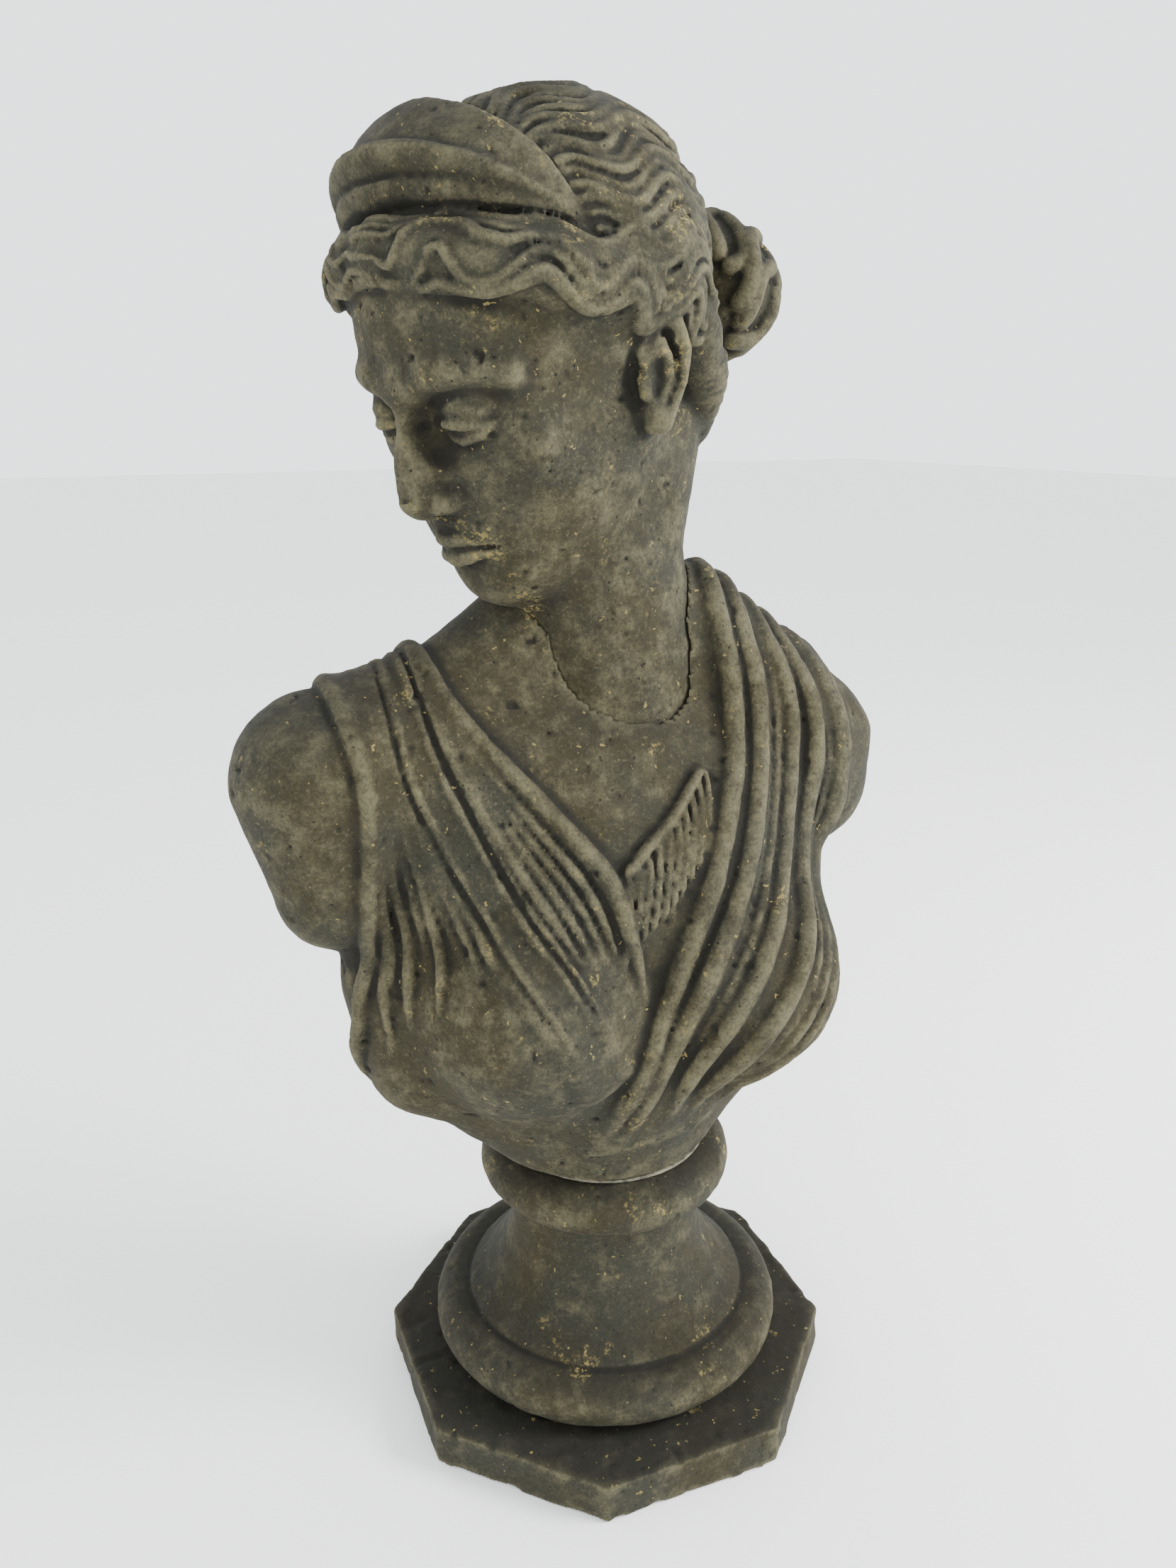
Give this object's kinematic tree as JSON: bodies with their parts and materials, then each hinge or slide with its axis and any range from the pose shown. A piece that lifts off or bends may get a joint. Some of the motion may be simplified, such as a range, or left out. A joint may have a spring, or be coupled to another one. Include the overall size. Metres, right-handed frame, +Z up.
{
  "type": "garden bust",
  "caption": "Cast-stone bust of a draped classical figure with diadem, head turned and bowed, on a turned socle and an octagonal plinth.",
  "frame": {"origin": "centre of the plinth's underside, on the socle's axis", "axes": "+Z up along the socle's axis, the torso faces -Y, +X towards the figure's left shoulder; the head is turned towards -X"},
  "size_m": [0.3088, 0.2106, 0.5934],
  "materials": {
    "head_stone": "matte",
    "torso_stone": "matte",
    "socle_stone": "matte",
    "plinth_stone": "matte",
    "mortar": "matte",
    "steel": "satin",
    "resin": "satin"
  },
  "bodies": {
    "root": {"head_and_neck": "head_stone", "draped_torso": "torso_stone", "socle": "socle_stone", "plinth": "plinth_stone", "neck_mortar": "mortar", "torso_mortar": "mortar", "plinth_mortar": "mortar", "neck_dowel": "steel", "tie_rod": "steel", "rod_resin": "resin", "rod_washer": "steel", "rod_nut": "steel", "plinth_pin_left": "steel", "plinth_pin_right": "steel"}
  },
  "joints": []
}
